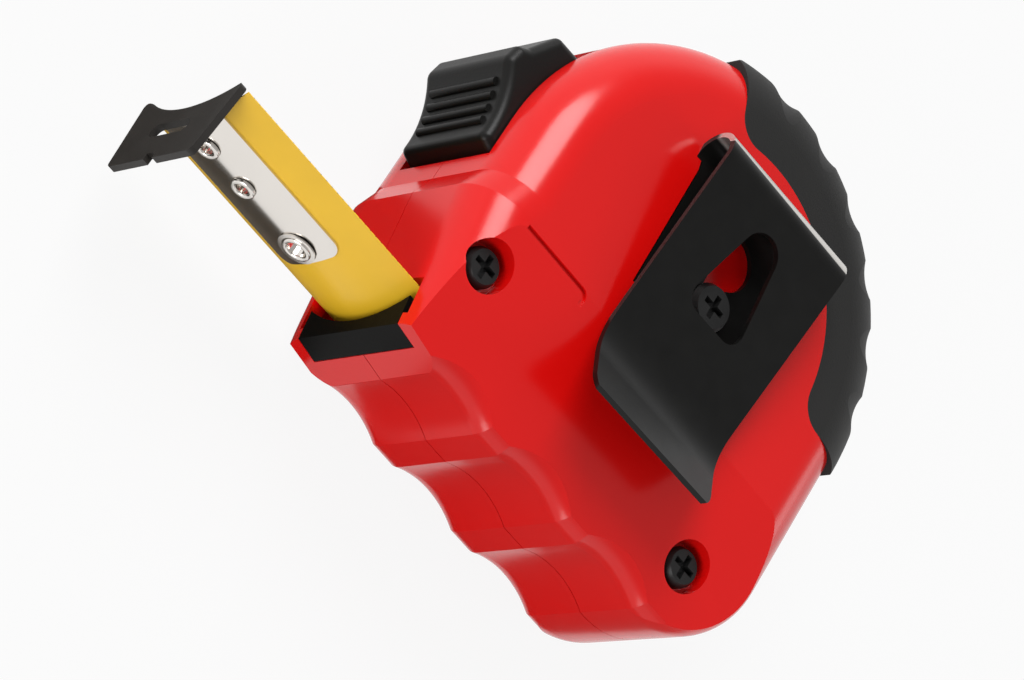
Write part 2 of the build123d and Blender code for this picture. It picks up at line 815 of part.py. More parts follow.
# Straight tape: a curved yellow strip, hollow side towards the reel
with BuildPart() as tape_blade:
    with BuildSketch(Plane.YZ.offset(tape_end_x)):
        add(tape_band(tape_top_radius, tape_section_radius, tape_half_angle))
    extrude(amount=tape_tail_x - tape_end_x)
    add(rivet_cutter.part, mode=Mode.SUBTRACT)
tape_blade.part.label = "tape_blade"
export_step(tape_blade.part, "parts/tape_blade.step")

# Bright backing plate on the underside of the tape
plate_top_radius = tape_section_radius + skin_gap
plate_half_angle = degrees(asin((plate_width / 2 + cut_margin) / plate_top_radius))
with BuildPart() as hook_plate:
    with BuildSketch(Plane.YZ.offset(tape_end_x)):
        add(tape_band(plate_top_radius, plate_top_radius + plate_thickness, plate_half_angle))
    extrude(amount=plate_length)
    with BuildSketch(Plane.XZ) as plan:
        with Locations((tape_end_x, mid_height)):
            Rectangle(plate_length, plate_width, align=(Align.MIN, Align.CENTER))
        fillet(plan.vertices().group_by(Axis.X)[-1], plate_corner_radius)
    extrude(amount=base_depth, mode=Mode.INTERSECT)
    add(rivet_cutter.part, mode=Mode.SUBTRACT)
hook_plate.part.label = "hook_plate"
export_step(hook_plate.part, "parts/hook_plate.step")

# End hook: a leg that lies in the tape's hollow, slotted so that it can float, and a drop plate
hook_front_x = tape_end_x - hook_end_gap - hook_thickness
hook_bottom_depth = hook_top_depth + hook_drop
leg_outer_radius = tape_top_radius - hook_leg_gap
leg_inner_radius = leg_outer_radius - hook_thickness
leg_half_angle = degrees(asin(hook_leg_width / 2 / leg_outer_radius))
leg_slot_width = 2 * (rivet_shank_radius + rivet_hole_gap)
with BuildPart() as end_hook:
    with BuildSketch(Plane.YZ.offset(hook_front_x)):
        add(tape_band(leg_inner_radius, leg_outer_radius, leg_half_angle))
    extrude(amount=hook_thickness + hook_leg_length)
    with BuildSketch(Plane.XZ):
        with Locations(*[(x + hook_travel / 2, mid_height) for x in rivet_x]):
            SlotOverall(leg_slot_width + hook_travel, leg_slot_width)
    extrude(amount=base_depth, mode=Mode.SUBTRACT)
    with BuildSketch(Plane.YZ.offset(hook_front_x)) as drop_plate:
        with BuildLine():
            Polyline(
                (-hook_top_depth, mid_height - hook_top_width / 2),
                (-hook_top_depth, mid_height + hook_top_width / 2),
                (-hook_bottom_depth, mid_height + hook_bottom_width / 2),
                (-hook_bottom_depth, mid_height - hook_bottom_width / 2),
                close=True,
            )
        make_face()
        fillet(drop_plate.vertices(), hook_corner_radius)
        with Locations((tape_axis_y, mid_height)):
            Circle(leg_inner_radius, mode=Mode.SUBTRACT)
        with Locations((-hook_top_depth - nail_slot_drop, mid_height)):
            SlotOverall(nail_slot_length, nail_slot_width, rotation=90, mode=Mode.SUBTRACT)
        with Locations((-hook_bottom_depth, mid_height)):
            Rectangle(2 * hook_notch_depth, hook_notch_width, mode=Mode.SUBTRACT)
    extrude(amount=hook_thickness)
    front_arcs = end_hook.faces().sort_by(Axis.X)[0].edges().filter_by(GeomType.CIRCLE)
    fillet(front_arcs.sort_by(SortBy.RADIUS)[-1], hook_fold_radius)
end_hook.part.label = "end_hook"
export_step(end_hook.part, "parts/end_hook.step")

with BuildPart() as hook_rivets:
    for x in rivet_x:
        add(eyelet(x, rivet_head_radius, rivet_shank_radius, rivet_bore_radius, leg_inner_radius))
hook_rivets.part.label = "hook_rivets"
export_step(hook_rivets.part, "parts/hook_rivets.step")

with BuildPart() as end_rivet:
    add(eyelet(
        end_rivet_x,
        end_rivet_head_radius,
        end_rivet_shank_radius,
        end_rivet_bore_radius,
        tape_top_radius,
    ))
    with BuildSketch(Plane.XZ.offset(rivet_head_depth)):
        with Locations((end_rivet_x, mid_height)):
            Circle(end_flange_radius)
            Circle(end_rivet_shank_radius, mode=Mode.SUBTRACT)
    extrude(amount=end_flange_height)
end_rivet.part.label = "end_rivet"
export_step(end_rivet.part, "parts/end_rivet.step")

# Lock button on the front, with a hollow ridged thumb face
with BuildPart() as lock_button:
    foot = at_angle(lock_seat_radius, lock_bottom_angle)
    tail = at_angle(lock_seat_radius, lock_top_angle)
    tail_top = at_angle(lock_seat_radius + lock_rear_height, lock_rear_angle)
    lip = at_angle(lock_seat_radius + lock_lip_height, lock_lip_angle)
    crest_front = at_angle(lock_seat_radius + lock_crest_height, lock_crest_front_angle)
    crest_rear = at_angle(lock_seat_radius + lock_crest_height, lock_crest_rear_angle)
    step = at_angle(lock_seat_radius + lock_step_height, lock_step_angle)
    with BuildSketch(Plane.XY.offset(mid_height - lock_width / 2)) as side_profile:
        with BuildLine():
            CenterArc((0, 0), lock_seat_radius, lock_bottom_angle, lock_top_angle - lock_bottom_angle)
            Line(foot, lip)
            thumb = SagittaArc(lip, crest_front, -lock_thumb_hollow)
            Polyline(crest_front, crest_rear, step, tail_top, tail)
        make_face()
        for corner, radius in (
            (lip, lock_lip_round),
            (crest_front, lock_crest_round),
            (crest_rear, lock_step_round),
            (step, lock_step_round),
            (tail_top, lock_lip_round),
        ):
            fillet(side_profile.vertices().sort_by_distance(corner)[0], radius)
    extrude(amount=lock_width)
    outer_rim = lock_button.faces().filter_by(Axis.Z).edges().filter_by(
        lambda edge: Vector(edge.center().X, edge.center().Y).length > case_radius
    )
    fillet(outer_rim, lock_edge_radius)
    with BuildSketch(Plane.XY.offset(mid_height - lock_ridge_length / 2)):
        first_ridge = (thumb.length - (lock_ridge_count - 1) * lock_ridge_pitch) / 2
        with Locations(*[
            thumb @ ((first_ridge + i * lock_ridge_pitch) / thumb.length)
            for i in range(lock_ridge_count)
        ]):
            Circle(lock_ridge_radius)
    extrude(amount=lock_ridge_length)
lock_button.part.label = "lock_button"
export_step(lock_button.part, "parts/lock_button.step")

# Arm inside the front wall, from the button down to the brake over the tape
pad_top_depth = pad_bottom_depth - pad_thickness
with BuildPart() as lock_arm:
    with BuildSketch(Plane.XY.offset(mid_height - arm_width / 2)):
        add(ring_sector(arm_inner_radius, arm_outer_radius, arm_top_angle, arm_bottom_angle))
        add(ring_sector(
            arm_inner_radius,
            lock_seat_radius - stem_gap,
            arm_top_angle,
            arm_top_angle + stem_angle,
        ))
        with BuildLine():
            Polyline(
                (shoe_front_x, -shoe_top_depth),
                (shoe_rear_x, -shoe_top_depth),
                (shoe_rear_x, -pad_top_depth),
                (shoe_front_x, -pad_top_depth),
                close=True,
            )
        make_face()
    extrude(amount=arm_width)
lock_arm.part.label = "lock_arm"
export_step(lock_arm.part, "parts/lock_arm.step")

with BuildPart() as brake_pad:
    with BuildSketch(Plane.XZ.offset(pad_top_depth)):
        with Locations((shoe_front_x, mid_height)):
            Rectangle(shoe_rear_x - shoe_front_x, arm_width, align=(Align.MIN, Align.CENTER))
    extrude(amount=pad_thickness)
brake_pad.part.label = "brake_pad"
export_step(brake_pad.part, "parts/brake_pad.step")

with BuildPart() as case_screws:
    for place, head_top in zip(case_screw_places, case_screw_head_tops):
        add(screw(
            place,
            head_top,
            case_screw_head_radius,
            case_screw_head_height,
            case_screw_shank_radius,
            case_screw_tip_height,
        ))
case_screws.part.label = "case_screws"
export_step(case_screws.part, "parts/case_screws.step")

with BuildPart() as clip_screw:
    add(screw(
        clip_screw_place,
        case_thickness + clip_screw_head_height,
        clip_screw_head_radius,
        clip_screw_head_height,
        clip_screw_shank_radius,
        clip_screw_tip_height,
    ))
clip_screw.part.label = "clip_screw"
export_step(clip_screw.part, "parts/clip_screw.step")

# Belt clip: one folded strip, its foot under the screw and its outer leaf bent in to grip
clip_foot_mid = case_thickness - clip_thickness / 2
with BuildPart() as clip_foot_plan:
    with BuildSketch(Plane.XY.offset(case_thickness - clip_thickness)):
        add(clip_foot(0))
        with Locations((0, clip_screw_place[1])):
            Circle(clip_screw_shank_radius + screw_hole_gap, mode=Mode.SUBTRACT)
            Rectangle(
                2 * (clip_screw_shank_radius + screw_hole_gap),
                clip_keyhole_y - clip_screw_place[1],
                align=(Align.CENTER, Align.MIN),
                mode=Mode.SUBTRACT,
            )
        with Locations((0, clip_keyhole_y)):
            Circle(clip_keyhole_radius, mode=Mode.SUBTRACT)
    extrude(amount=2 * clip_thickness)

with BuildPart() as clip_leaf_plan:
    with BuildSketch(Plane.XY.offset(case_thickness)) as leaf_plan:
        with BuildLine():
            Polyline(
                (-clip_top_width / 2, clip_loop_y + clip_thickness),
                (-clip_lip_width / 2, clip_lip_y - clip_thickness),
                (clip_lip_width / 2, clip_lip_y - clip_thickness),
                (clip_top_width / 2, clip_loop_y + clip_thickness),
                close=True,
            )
        make_face()
        fillet(leaf_plan.vertices().group_by(Axis.Y)[0], clip_lip_corner)
    extrude(amount=case_thickness)
    with BuildSketch(Plane.XY.offset(case_thickness)):
        with Locations((0, clip_window_top_y)):
            Circle(clip_window_top_radius)
        with Locations((0, clip_window_foot_y)):
            with GridLocations(clip_window_foot_spread, 0, 2, 1):
                Circle(clip_window_foot_radius)
        make_hull()
    extrude(amount=case_thickness, mode=Mode.SUBTRACT)

with BuildPart() as clip_strip:
    with BuildSketch(Plane.YZ.offset(-clip_top_width / 2)):
        with BuildLine():
            FilletPolyline(
                (clip_foot_y, clip_foot_mid),
                (clip_loop_y, clip_foot_mid),
                (clip_loop_y, clip_foot_mid + clip_loop_height),
                (clip_contact_y, case_thickness + clip_contact_height),
                (clip_lip_y, case_thickness + clip_lip_height),
                radius=[clip_loop_bend, clip_loop_bend, clip_contact_bend],
            )
        trace(line_width=clip_thickness)
    extrude(amount=clip_top_width)
    add([clip_foot_plan.part, clip_leaf_plan.part], mode=Mode.INTERSECT)

with BuildPart() as belt_clip:
    add(on_clip(clip_strip.part))
belt_clip.part.label = "belt_clip"
export_step(belt_clip.part, "parts/belt_clip.step")
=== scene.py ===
"""Dresses the pocket tape measure: its finishes, its tape print, its run of tape and its studio."""

from functools import reduce
from math import asin, cos, radians, sin

import bpy
from bpy.props import FloatProperty, FloatVectorProperty, PointerProperty
from mathutils import Matrix, Vector


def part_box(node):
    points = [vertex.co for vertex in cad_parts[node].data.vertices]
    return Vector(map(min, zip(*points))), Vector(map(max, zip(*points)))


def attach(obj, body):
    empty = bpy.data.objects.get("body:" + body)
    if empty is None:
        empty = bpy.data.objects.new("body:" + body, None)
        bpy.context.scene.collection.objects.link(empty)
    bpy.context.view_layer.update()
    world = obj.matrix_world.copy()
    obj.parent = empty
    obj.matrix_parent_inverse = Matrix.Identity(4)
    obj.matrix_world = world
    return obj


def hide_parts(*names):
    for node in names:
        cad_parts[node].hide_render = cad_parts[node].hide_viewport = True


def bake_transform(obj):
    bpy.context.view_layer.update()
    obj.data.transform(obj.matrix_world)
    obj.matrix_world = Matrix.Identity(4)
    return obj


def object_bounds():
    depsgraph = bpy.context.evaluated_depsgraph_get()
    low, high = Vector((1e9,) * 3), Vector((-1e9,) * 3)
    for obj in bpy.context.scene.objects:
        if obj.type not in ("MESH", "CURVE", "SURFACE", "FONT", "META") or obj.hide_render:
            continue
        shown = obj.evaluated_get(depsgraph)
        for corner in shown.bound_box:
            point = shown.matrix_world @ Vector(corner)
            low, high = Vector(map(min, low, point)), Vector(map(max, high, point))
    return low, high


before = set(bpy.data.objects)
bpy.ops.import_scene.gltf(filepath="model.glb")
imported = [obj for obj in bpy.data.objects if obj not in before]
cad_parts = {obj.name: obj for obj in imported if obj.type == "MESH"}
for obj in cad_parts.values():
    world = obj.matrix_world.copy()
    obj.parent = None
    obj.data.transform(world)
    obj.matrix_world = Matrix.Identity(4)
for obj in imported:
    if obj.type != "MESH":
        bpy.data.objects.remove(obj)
cad_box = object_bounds()

bl_info = {
    "name": "Tape Measure",
    "version": (1, 0, 0),
    "blender": (4, 5, 0),
    "location": "View3D > Sidebar > Tape Measure",
    "description": "Finishes the pieces of a pocket tape measure and sets up its studio",
    "category": "Object",
}

MM = 0.001

# Places read from the frame
blade_low, blade_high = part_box("tape_blade")
lead_low, lead_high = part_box("tape_lead")
rivet_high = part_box("end_rivet")[1]
clip_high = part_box("belt_clip")[1]
mid_height = (blade_low.z + blade_high.z) / 2
half_chord = (blade_high.z - blade_low.z) / 2


def colour(name, description, default):
    """A colour setting."""
    return FloatVectorProperty(
        name=name, description=description, default=default, size=3, subtype="COLOR", min=0, max=1
    )


def length(name, description, default):
    """A length setting in metres."""
    return FloatProperty(
        name=name, description=description, default=default, min=0, subtype="DISTANCE", unit="LENGTH"
    )


def share(name, description, default):
    """A setting from none to all."""
    return FloatProperty(name=name, description=description, default=default, min=0, max=1, subtype="FACTOR")


def level(name, description, default):
    """A strength of the world's light, where 1 is white."""
    return FloatProperty(name=name, description=description, default=default, min=0)


def watts(name, description, default):
    """A lamp's power."""
    return FloatProperty(
        name=name, description=description, default=default, min=0, subtype="POWER", unit="POWER"
    )


def camera_length(name, description, default):
    """A length inside the camera in millimetres."""
    return FloatProperty(
        name=name, description=description, default=default, min=1, subtype="DISTANCE_CAMERA", unit="CAMERA"
    )


def heading(name, description, default):
    """A direction in the object's frame."""
    return FloatVectorProperty(
        name=name, description=description, default=default, size=3, subtype="DIRECTION"
    )


class TapeMeasureFinish(bpy.types.PropertyGroup):
    """Colours of the finishes."""

    case_red: colour("Case red", "Colour of the glossy shells", (0.62, 0.003, 0.0025))
    rubber_black: colour("Rubber black", "Colour of the rubber humps", (0.009, 0.0087, 0.0083))
    lock_black: colour("Lock black", "Colour of the thumb lock and its arm", (0.004, 0.0038, 0.0034))
    mouth_black: colour("Mouth black", "Colour of the mouth insert", (0.0024, 0.00228, 0.00204))
    clip_black: colour("Clip black", "Colour of the belt clip's coating", (0.004, 0.0039, 0.0036))
    # Painted highlight: colour of the bright metallic band along the clip loop's crown.
    worn_steel: colour("Worn steel", "Bare steel where the clip's coating has worn", (0.62, 0.6, 0.57))
    screw_black: colour("Screw black", "Colour of the blackened screws", (0.016, 0.016, 0.016))
    hook_dark: colour("Hook dark", "Colour of the end hook's coating", (0.019, 0.0168, 0.0152))
    blade_yellow: colour("Blade yellow", "Colour of the lacquered tape", (0.82, 0.49, 0.018))
    ink_black: colour("Ink black", "Colour of the tape's print", (0.012, 0.012, 0.013))
    nickel: colour("Nickel", "Colour of the bright backing plate and rivets", (0.83, 0.79, 0.74))
    inner_grey: colour("Inner grey", "Colour of the plain inner plastics", (0.52, 0.52, 0.5))
    spring_blue: colour("Spring blue", "Colour of the tempered mainspring", (0.3, 0.33, 0.4))


class TapeMeasurePrint(bpy.types.PropertyGroup):
    """Sizes of the tape and of the print on its hollow side."""

    line_width: length("Line width", "Width of a graduation line", 0.22 * MM)
    short_pitch: length("Short pitch", "Distance between two short lines", 1 * MM)
    middle_pitch: length("Middle pitch", "Distance between two middle lines", 5 * MM)
    number_pitch: length("Number pitch", "Distance between two numbers and their long lines", 10 * MM)
    short_line: length("Short line", "Length of a millimetre line", 3.2 * MM)
    middle_line: length("Middle line", "Length of a five millimetre line", 4.8 * MM)
    long_line: length("Long line", "Length of a ten millimetre line", 6.8 * MM)
    blank_end: length("Blank end", "Length without lines at the tape's end", 0.5 * MM)
    digit_height: length("Digit height", "Height of the numbers", 5.6 * MM)
    digit_lift: length("Digit lift", "Height of the ink over the lacquer", 0.02 * MM)
    section_radius: length("Section radius", "Radius of the tape's rounded side", 16.8 * MM)
    tape_thickness: length("Tape thickness", "Thickness of the tape", 0.2 * MM)
    nest_gap: length("Nest gap", "Gap between the run of tape and the straight tape's hollow", 0.05 * MM)
    run_foot: length("Run foot", "Length of the run that lies level behind the straight tape", 4.2 * MM)
    run_head: length("Run head", "Length of the run that lies level under the coil", 3.5 * MM)


class TapeMeasureStudio(bpy.types.PropertyGroup):
    """Floor, lights and camera."""

    floor_size: length("Floor size", "Side of the floor", 6.0)
    floor_grey: colour("Floor grey", "Colour of the floor's paper", (0.55, 0.55, 0.55))
    floor_glow: share("Floor glow", "Share of plain white that the camera sees in the floor", 0.9)
    floor_mirrored: share("Floor mirrored", "Share of that white which reflections see", 1.0)
    card_lift: length("Card lift", "Height of the dark cards over the floor", 0.5 * MM)
    # Painted reflections: colours of the dark cards that only reflections see.
    plate_card: colour("Plate card", "Colour of the card that the bright plate mirrors", (0.1, 0.094, 0.084))
    groove_card: colour("Groove card", "Colour of the card that the grooves mirror", (0.25, 0.24, 0.23))
    horizon_level: level("Horizon level", "Strength of the world's light near the floor", 1.0)
    zenith_level: level("Zenith level", "Strength of the world's light overhead", 0.42)
    dome_start: share("Dome start", "Height at which the world's light starts to fall", 0.12)
    dome_end: share("Dome end", "Height from which the world's light is that overhead", 0.6)
    key_power: watts("Key power", "Power of the lamp over the clip side", 4.4)
    front_power: watts("Front power", "Power of the lamp before the finger grooves", 2.6)
    rear_power: watts("Rear power", "Power of the lamp behind the humps", 0.8)
    camera_right: heading("Camera right", "Direction of the picture's right", (0.59148, 0.46657, 0.65762))
    camera_up: heading("Camera up", "Direction of the picture's top", (-0.67938, 0.72763, 0.09481))
    camera_place: FloatVectorProperty(
        name="Camera place", description="Place of the camera", default=(-0.2313, -0.2712, 0.3963),
        size=3, subtype="TRANSLATION", unit="LENGTH",
    )
    lens: camera_length("Lens", "Focal length of the camera", 152.6)
    sensor: camera_length("Sensor", "Width of the camera's sensor", 36)


class Link:
    """A node's output, with arithmetic that adds the nodes it needs."""

    def __init__(self, tree, socket):
        self.tree = tree
        self.socket = socket

    def math(self, operation, *values):
        """A Math node on values and links."""
        return self.tree.node("ShaderNodeMath", {"operation": operation}, dict(enumerate(values)))

    def __add__(self, other):
        return self.math("ADD", self, other)

    def __sub__(self, other):
        return self.math("SUBTRACT", self, other)

    def __rsub__(self, other):
        return self.math("SUBTRACT", other, self)

    def __mul__(self, other):
        return self.math("MULTIPLY", self, other)

    def __pow__(self, other):
        return self.math("POWER", self, other)

    def __lt__(self, other):
        return self.math("LESS_THAN", self, other)

    def __gt__(self, other):
        return self.math("GREATER_THAN", self, other)

    __radd__ = __add__
    __rmul__ = __mul__

    def unsigned(self):
        """The value without its sign."""
        return self.math("ABSOLUTE", self)

    def larger(self, other):
        """The larger of two values."""
        return self.math("MAXIMUM", self, other)

    def off_line(self, pitch):
        """Distance to the nearest of the lines that stand a pitch apart from zero."""
        return (self.math("WRAP", self + pitch / 2, pitch, 0.0) - pitch / 2).unsigned()


class Tree:
    """The nodes of a material or of the world."""

    def __init__(self, node_tree):
        self.nodes = node_tree.nodes
        self.links = node_tree.links

    def connect(self, socket, value):
        """Links a value to a socket, or sets it there."""
        if isinstance(value, Link):
            self.links.new(value.socket, socket)
        elif socket.type == "RGBA":
            socket.default_value = (*value, 1)
        else:
            socket.default_value = value

    def node(self, kind, settings, inputs, output=0):
        """Adds a node with its settings and the values or links of its sockets."""
        made = self.nodes.new(kind)
        for name, value in settings.items():
            setattr(made, name, value)
        for name, value in inputs.items():
            self.connect(made.inputs[name], value)
        return Link(self, made.outputs[output])

    def axes(self, place):
        """X, Y and Z of a place or a direction."""
        split = self.node("ShaderNodeSeparateXYZ", {}, {"Vector": place})
        return [Link(self, output) for output in split.socket.node.outputs]

    def ray(self, kind):
        """1 for rays of this kind, and 0 for others."""
        return self.node("ShaderNodeLightPath", {}, {}, kind)

    def step(self, value, start, end):
        """Smooth rise from 0 at start to 1 at end."""
        return self.node(
            "ShaderNodeMapRange",
            {"interpolation_type": "SMOOTHSTEP"},
            {"Value": value, "From Min": start, "From Max": end},
        )


class Finish(Tree):
    """A material made of nodes, whose Principled shader takes plain values and links."""

    def __init__(self, name, constants):
        self.material = bpy.data.materials.new(name)
        self.material.use_nodes = True
        super().__init__(self.material.node_tree)
        self.shader = self.nodes["Principled BSDF"]
        self.place = self.node("ShaderNodeTexCoord", {}, {}, "Object")
        for socket, value in constants.items():
            self.set(socket, value)

    def set(self, socket, value):
        """Feeds one of the shader's sockets."""
        self.connect(self.shader.inputs[socket], value)

    def noise(self, size, detail=2.0, stretch=(1, 1, 1)):
        """Cloudy variation from 0 to 1 whose patches have about this size in metres."""
        placed = self.node("ShaderNodeMapping", {}, {"Vector": self.place, "Scale": stretch})
        return self.node(
            "ShaderNodeTexNoise", {}, {"Vector": placed, "Scale": 1 / size, "Detail": detail}, "Fac"
        )

    def mix(self, mask, first, second):
        """Colour between two colours."""
        return self.node("ShaderNodeMix", {"data_type": "RGBA"}, {0: mask, 6: first, 7: second}, 2)

    def mottle(self, base, mask, dark, light):
        """The base colour, from a darker shade to a lighter one."""
        return self.mix(mask, shade(base, dark), shade(base, light))

    def bump(self, height, depth):
        """Feeds the shader's normal with a relief of this depth in metres."""
        relief = {"Height": height, "Distance": depth, "Strength": 1.0}
        self.set("Normal", self.node("ShaderNodeBump", {}, relief, "Normal"))


def shade(base, factor):
    """A colour made darker or lighter."""
    return tuple(min(1.0, part * factor) for part in base)


def around(middle, *spreads):
    """A value around a middle, which each mask moves within its spread."""
    value = middle
    for mask, spread in spreads:
        value = value + spread * (mask - 0.5)
    return value


def tint(name):
    """One of the colour settings."""
    return tuple(getattr(bpy.context.scene.tape_measure_finish, name))


def glossy_plastic(name, base):
    """Moulded glossy plastic with faint flow marks and a skin like orange peel."""
    finish = Finish(name, {"Specular IOR Level": 0.42})
    flow = finish.noise(size=22 * MM, detail=3, stretch=(1, 1, 0.5))
    speck = finish.noise(size=0.9 * MM)
    finish.set("Base Color", finish.mottle(base, flow, dark=0.93, light=1.05))
    finish.set("Roughness", around(0.21, (flow, 0.08), (speck, 0.04)))
    finish.bump(finish.noise(size=1.6 * MM), depth=0.006 * MM)
    return finish.material


def grained_plastic(name, base, roughness, gloss=0.22):
    """Satin plastic with a fine moulded grain."""
    finish = Finish(name, {"Specular IOR Level": gloss})
    grain = finish.noise(size=0.3 * MM, detail=3)
    cloud = finish.noise(size=8 * MM)
    finish.set("Base Color", finish.mottle(base, cloud, dark=0.8, light=1.3))
    finish.set("Roughness", around(roughness, (cloud, 0.12), (grain, 0.08)))
    finish.bump(grain, depth=0.012 * MM)
    return finish.material


def moulded_rubber(name, base):
    """Matt rubber with a sandy grain and a faint bloom."""
    finish = Finish(name, {"Specular IOR Level": 0.25, "Sheen Weight": 0.05, "Sheen Roughness": 0.5})
    grain = finish.noise(size=0.22 * MM, detail=4)
    bloom = finish.noise(size=6 * MM, detail=4)
    finish.set("Base Color", finish.mottle(base, bloom, dark=0.75, light=1.35))
    finish.set("Roughness", around(0.7, (bloom, 0.2)))
    finish.bump(grain, depth=0.03 * MM)
    return finish.material


def coated_steel(name, base, roughness, metal):
    """Thin dark coating on steel, slightly uneven."""
    finish = Finish(name, {"Metallic": metal, "Specular IOR Level": 0.3})
    cloud = finish.noise(size=3 * MM, detail=4)
    speck = finish.noise(size=0.25 * MM, detail=3)
    finish.set("Base Color", finish.mottle(base, cloud, dark=0.8, light=1.3))
    finish.set("Roughness", around(roughness, (cloud, 0.14), (speck, 0.06)))
    finish.bump(speck, depth=0.008 * MM)
    return finish.material


def worn_clip_steel(name, base, highlight_colour):
    """Black coating on the belt clip, with a painted highlight: a band of bright metallic steel along the
    crown of its loop.
    """
    finish = Finish(name, {"Specular IOR Level": 0.22})
    y, z = finish.axes(finish.place)[1:]
    cloud = finish.noise(size=2.5 * MM, detail=4)
    highlight_breakup = finish.noise(size=0.7 * MM, detail=3, stretch=(0.25, 1, 1))
    # Painted highlight: a bright metallic band where the highlight of the loop's bend falls, broken up by
    # noise.
    past_bend = finish.step(y, start=clip_high.y - 2.35 * MM, end=clip_high.y - 2.15 * MM)
    on_crown = finish.step(z, start=clip_high.z - 4.2 * MM, end=clip_high.z - 3.2 * MM)
    painted_highlight_mask = past_bend * on_crown * finish.step(highlight_breakup + 0.5 * cloud, start=0.32, end=0.5)
    coat = finish.mottle(base, cloud, dark=0.8, light=1.3)
    finish.set("Base Color", finish.mix(painted_highlight_mask, coat, highlight_colour))
    finish.set("Metallic", 0.9 * painted_highlight_mask)
    finish.set("Roughness", around(0.33, (cloud, 0.1), (painted_highlight_mask, 0.06)))
    finish.bump(cloud, depth=0.01 * MM)
    return finish.material


def bright_nickel(name, base):
    """Polished nickel with fine rubbing marks along the tape."""
    finish = Finish(name, {"Metallic": 1.0})
    marks = finish.noise(size=0.35 * MM, detail=4, stretch=(0.06, 1, 1))
    cloud = finish.noise(size=4 * MM, detail=3)
    finish.set("Base Color", finish.mottle(base, cloud, dark=0.94, light=1.0))
    finish.set("Roughness", around(0.155, (marks, 0.08), (cloud, 0.05)))
    finish.bump(marks, depth=0.002 * MM)
    return finish.material


def printed_lacquer(name, base, ink, sizes):
    """Yellow lacquer with graduations along both edges of the tape's hollow side."""
    finish = Finish(name, {"Coat Weight": 0.15, "Coat Roughness": 0.2})
    x, y, z = finish.axes(finish.place)
    along = x - blade_low.x
    across = z - mid_height
    off_axis = y - (blade_low.y + sizes.section_radius)
    from_axis = (off_axis**2 + across**2) ** 0.5
    hollow_side = from_axis < sizes.section_radius - sizes.tape_thickness / 2
    from_edge = half_chord - across.unsigned()
    lines = [
        (along.off_line(pitch) < sizes.line_width / 2) * (from_edge < reach)
        for pitch, reach in (
            (sizes.short_pitch, sizes.short_line),
            (sizes.middle_pitch, sizes.middle_line),
            (sizes.number_pitch, sizes.long_line),
        )
    ]
    inked = reduce(Link.larger, lines) * hollow_side * (along > sizes.blank_end)
    cloud = finish.noise(size=5 * MM, detail=3)
    lacquer = finish.mottle(base, cloud, dark=0.94, light=1.04)
    finish.set("Base Color", finish.mix(inked, lacquer, ink))
    finish.set("Roughness", around(0.41, (cloud, 0.1)))
    finish.bump(finish.noise(size=0.6 * MM, detail=3), depth=0.004 * MM)
    return finish.material


def dress(material, *nodes):
    """Gives CAD nodes a material."""
    for name in nodes:
        for material_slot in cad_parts[name].material_slots:
            material_slot.material = material


def start_piece():
    """Leaves nothing selected before a new piece is added."""
    if bpy.context.object and bpy.context.object.mode != "OBJECT":
        bpy.ops.object.mode_set(mode="OBJECT")
    bpy.ops.object.select_all(action="DESELECT")


def finish_piece(name, material):
    """Puts a new piece's place into its mesh, and gives it a name and a finish."""
    piece = bpy.context.object
    piece.name = name
    piece.data.name = name
    bpy.ops.object.transform_apply(location=True, rotation=True, scale=True)
    piece.data.materials.clear()
    piece.data.materials.append(material)
    return piece


def thicken(piece, thickness):
    """Gives a sheet a thickness behind its front."""
    film = piece.modifiers.new("thickness", "SOLIDIFY")
    film.thickness = thickness
    film.offset = -1
    bpy.ops.object.modifier_apply(modifier=film.name)


class PieceOperator(bpy.types.Operator):
    """Shared settings of the operators."""

    bl_options = {"REGISTER", "UNDO"}


class TAPE_OT_case(PieceOperator):
    """Finish the two shells in glossy red plastic"""

    bl_idname = "tape_measure.case"
    bl_label = "Case Shells"

    def execute(self, context):
        dress(glossy_plastic("case_red", tint("case_red")), "clip_side_shell", "plain_side_shell")
        return {"FINISHED"}


class TAPE_OT_bumpers(PieceOperator):
    """Finish the humps and the brake pad in rubber"""

    bl_idname = "tape_measure.bumpers"
    bl_label = "Rubber Humps"

    def execute(self, context):
        rubber = moulded_rubber("hump_rubber", tint("rubber_black"))
        dress(rubber, "clip_side_bumper", "plain_side_bumper", "brake_pad")
        return {"FINISHED"}


class TAPE_OT_lock(PieceOperator):
    """Finish the thumb lock and the mouth insert in satin plastic"""

    bl_idname = "tape_measure.lock"
    bl_label = "Lock and Mouth"

    def execute(self, context):
        dress(grained_plastic("lock_plastic", tint("lock_black"), roughness=0.4), "lock_button", "lock_arm")
        mouth = grained_plastic("mouth_plastic", tint("mouth_black"), roughness=0.5, gloss=0.08)
        dress(mouth, "mouth_insert")
        return {"FINISHED"}


class TAPE_OT_clip(PieceOperator):
    """Finish the belt clip in black coating with a painted highlight along its loop"""

    bl_idname = "tape_measure.clip"
    bl_label = "Belt Clip"

    def execute(self, context):
        dress(worn_clip_steel("clip_coat", tint("clip_black"), tint("worn_steel")), "belt_clip")
        return {"FINISHED"}


class TAPE_OT_screws(PieceOperator):
    """Finish the screws in blackened steel"""

    bl_idname = "tape_measure.screws"
    bl_label = "Screws"

    def execute(self, context):
        blackened = coated_steel("screw_steel", tint("screw_black"), roughness=0.38, metal=0.3)
        dress(blackened, "case_screws", "clip_screw")
        return {"FINISHED"}


class TAPE_OT_blade(PieceOperator):
    """Finish the tape in yellow lacquer with its graduations"""

    bl_idname = "tape_measure.blade"
    bl_label = "Tape"

    def execute(self, context):
        sizes = context.scene.tape_measure_print
        lacquer = printed_lacquer("tape_lacquer", tint("blade_yellow"), tint("ink_black"), sizes)
        dress(lacquer, "tape_blade", "tape_lead", "tape_coil")
        return {"FINISHED"}


